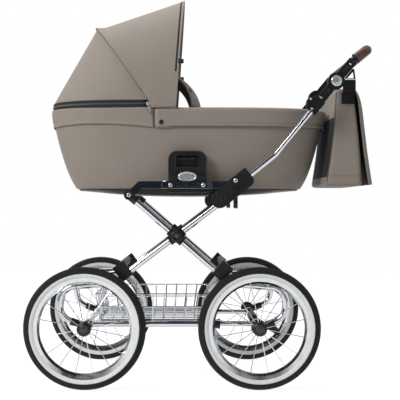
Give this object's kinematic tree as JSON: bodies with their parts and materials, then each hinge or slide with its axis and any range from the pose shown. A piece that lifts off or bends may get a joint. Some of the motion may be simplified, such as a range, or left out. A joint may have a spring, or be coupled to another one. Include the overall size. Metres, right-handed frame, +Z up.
{
  "type": "bassinet pram",
  "caption": "Classic bassinet pram: soft tub with folding hood, apron and wind flap on a chrome X-frame with C-spring legs, spoked wheels, wire basket, tilting leather handle and bag.",
  "frame": {"origin": "on the floor, midway between the axles and between the left and right wheels", "axes": "+X towards the handle, +Z up, Y across: -Y is the side nearest the camera in the picture, called left here"},
  "size_m": [1.0328, 0.624, 1.1645],
  "materials": {
    "chrome": "polished",
    "black_plastic": "satin",
    "hub_plastic": "satin",
    "taupe_fabric": "matt woven",
    "mattress_cloth": "soft knit",
    "tyre_rubber": "rubber, white side walls",
    "brown_leather": "smooth stitched"
  },
  "bodies": {
    "seat_bars": {"seat_bars": "chrome", "bassinet_sockets": "black_plastic"},
    "rear_leg": {"rear_legs": "chrome", "leg_top_joints": "black_plastic", "rear_axle": "chrome", "rear_axle_brackets": "black_plastic", "rear_cross_member": "black_plastic", "outer_pivot_saddles": "black_plastic", "cross_pivot_bolts": "chrome"},
    "front_leg": {"front_legs": "chrome", "front_axle": "chrome", "front_axle_brackets": "black_plastic", "front_cross_member": "black_plastic", "inner_pivot_saddles": "black_plastic", "fold_housings": "black_plastic", "push_tubes": "chrome", "handle_collars": "black_plastic", "handle_arms": "black_plastic", "tilt_housings": "black_plastic"},
    "rear_rail": {"rear_rails": "chrome"},
    "front_rail": {"front_rails": "chrome", "rail_sleeves": "black_plastic", "basket": "chrome"},
    "wheel_front_left": {"tyre_front_left": "tyre_rubber", "rim_front_left": "chrome", "spokes_front_left": "chrome", "hub_front_left": "hub_plastic"},
    "wheel_front_right": {"tyre_front_right": "tyre_rubber", "rim_front_right": "chrome", "spokes_front_right": "chrome", "hub_front_right": "hub_plastic"},
    "wheel_rear_left": {"tyre_rear_left": "tyre_rubber", "rim_rear_left": "chrome", "spokes_rear_left": "chrome", "hub_rear_left": "hub_plastic"},
    "wheel_rear_right": {"tyre_rear_right": "tyre_rubber", "rim_rear_right": "chrome", "spokes_rear_right": "chrome", "hub_rear_right": "hub_plastic"},
    "lever_left": {"fold_lever_left": "chrome"},
    "lever_right": {"fold_lever_right": "chrome"},
    "handle": {"handle_bar": "black_plastic", "leather_grip": "brown_leather"},
    "button_left": {"tilt_button_left": "chrome"},
    "button_right": {"tilt_button_right": "chrome"},
    "brake": {"brake_pedal": "black_plastic"},
    "bassinet": {"bassinet_shell": "taupe_fabric", "bassinet_base": "black_plastic", "carry_brackets": "black_plastic", "mattress": "mattress_cloth", "hood_pivots": "black_plastic", "hood_rear": "taupe_fabric", "apron": "taupe_fabric"},
    "hood": {"hood_front": "taupe_fabric"},
    "trigger_left": {"trigger_left": "black_plastic"},
    "trigger_right": {"trigger_right": "black_plastic"},
    "wind_flap": {"wind_flap": "taupe_fabric"},
    "bag": {"bag_body": "taupe_fabric", "bag_hooks": "black_plastic"}
  },
  "joints": [
    {"name": "chassis_fold", "type": "hinge", "parent": "seat_bars", "child": "rear_leg", "pos_m": [-0.12611, 0, 0.56306], "axis": [0, -1, 0], "range_deg": [0, 22]},
    {"name": "front_leg_fold", "type": "hinge", "parent": "rear_leg", "child": "front_leg", "pos_m": [0.012, 0, 0.443], "axis": [0, -1, 0], "range_deg": [-42.5, 0]},
    {"name": "rear_rail_level", "type": "hinge", "parent": "rear_leg", "child": "rear_rail", "pos_m": [0.2525, 0, 0.1775], "axis": [0, -1, 0], "range_deg": [-22.1, 0]},
    {"name": "front_rail_level", "type": "hinge", "parent": "front_leg", "child": "front_rail", "pos_m": [-0.2525, 0, 0.1775], "axis": [0, -1, 0], "range_deg": [0, 20.6]},
    {"name": "wheel_front_left_spin", "type": "hinge", "parent": "front_leg", "child": "wheel_front_left", "pos_m": [-0.2525, 0, 0.1775], "axis": [0, 1, 0], "continuous": true},
    {"name": "wheel_front_right_spin", "type": "hinge", "parent": "front_leg", "child": "wheel_front_right", "pos_m": [-0.2525, 0, 0.1775], "axis": [0, 1, 0], "continuous": true},
    {"name": "wheel_rear_left_spin", "type": "hinge", "parent": "rear_leg", "child": "wheel_rear_left", "pos_m": [0.2525, 0, 0.1775], "axis": [0, 1, 0], "continuous": true},
    {"name": "wheel_rear_right_spin", "type": "hinge", "parent": "rear_leg", "child": "wheel_rear_right", "pos_m": [0.2525, 0, 0.1775], "axis": [0, 1, 0], "continuous": true},
    {"name": "fold_lever_left_turn", "type": "hinge", "parent": "front_leg", "child": "lever_left", "pos_m": [0.18563, 0, 0.60601], "axis": [0, -1, 0], "range_deg": [0, 25]},
    {"name": "fold_lever_right_turn", "type": "hinge", "parent": "front_leg", "child": "lever_right", "pos_m": [0.18563, 0, 0.60601], "axis": [0, -1, 0], "range_deg": [0, 25]},
    {"name": "handle_tilt", "type": "hinge", "parent": "front_leg", "child": "handle", "pos_m": [0.482, 0, 0.898], "axis": [0, -1, 0], "range_deg": [-40, 30]},
    {"name": "tilt_button_left_press", "type": "slide", "parent": "front_leg", "child": "button_left", "axis": [0, 1, 0], "range_m": [0, 0.003], "stiffness_N_per_m": 800, "springref_m": -0.002},
    {"name": "tilt_button_right_press", "type": "slide", "parent": "front_leg", "child": "button_right", "axis": [0, -1, 0], "range_m": [0, 0.003], "stiffness_N_per_m": 800, "springref_m": -0.002},
    {"name": "brake_press", "type": "hinge", "parent": "rear_leg", "child": "brake", "pos_m": [0.2525, 0, 0.1775], "axis": [0, 1, 0], "range_deg": [0, 18]},
    {"name": "bassinet_lift", "type": "slide", "parent": "seat_bars", "child": "bassinet", "axis": [0, 0, 1], "range_m": [0, 0.3]},
    {"name": "hood_fold", "type": "hinge", "parent": "bassinet", "child": "hood", "pos_m": [-0.06, 0, 0.834], "axis": [0, -1, 0], "range_deg": [0, 50]},
    {"name": "trigger_left_lift", "type": "slide", "parent": "bassinet", "child": "trigger_left", "axis": [0, 0, 1], "range_m": [0, 0.005], "stiffness_N_per_m": 400, "springref_m": -0.002},
    {"name": "trigger_right_lift", "type": "slide", "parent": "bassinet", "child": "trigger_right", "axis": [0, 0, 1], "range_m": [0, 0.005], "stiffness_N_per_m": 400, "springref_m": -0.002},
    {"name": "wind_flap_turn", "type": "hinge", "parent": "bassinet", "child": "wind_flap", "pos_m": [0.08996, 0, 0.83269], "axis": [0, 1, 0], "range_deg": [0, 85]},
    {"name": "bag_swing", "type": "hinge", "parent": "front_leg", "child": "bag", "pos_m": [0.482, 0, 0.898], "axis": [0, -1, 0], "range_deg": [0, 20]}
  ],
  "couplings": [
    {"joint": "front_leg_fold", "follows": "chassis_fold", "ratio": -1.929},
    {"joint": "rear_rail_level", "follows": "chassis_fold", "ratio": -1},
    {"joint": "front_rail_level", "follows": "chassis_fold", "ratio": 0.929}
  ]
}
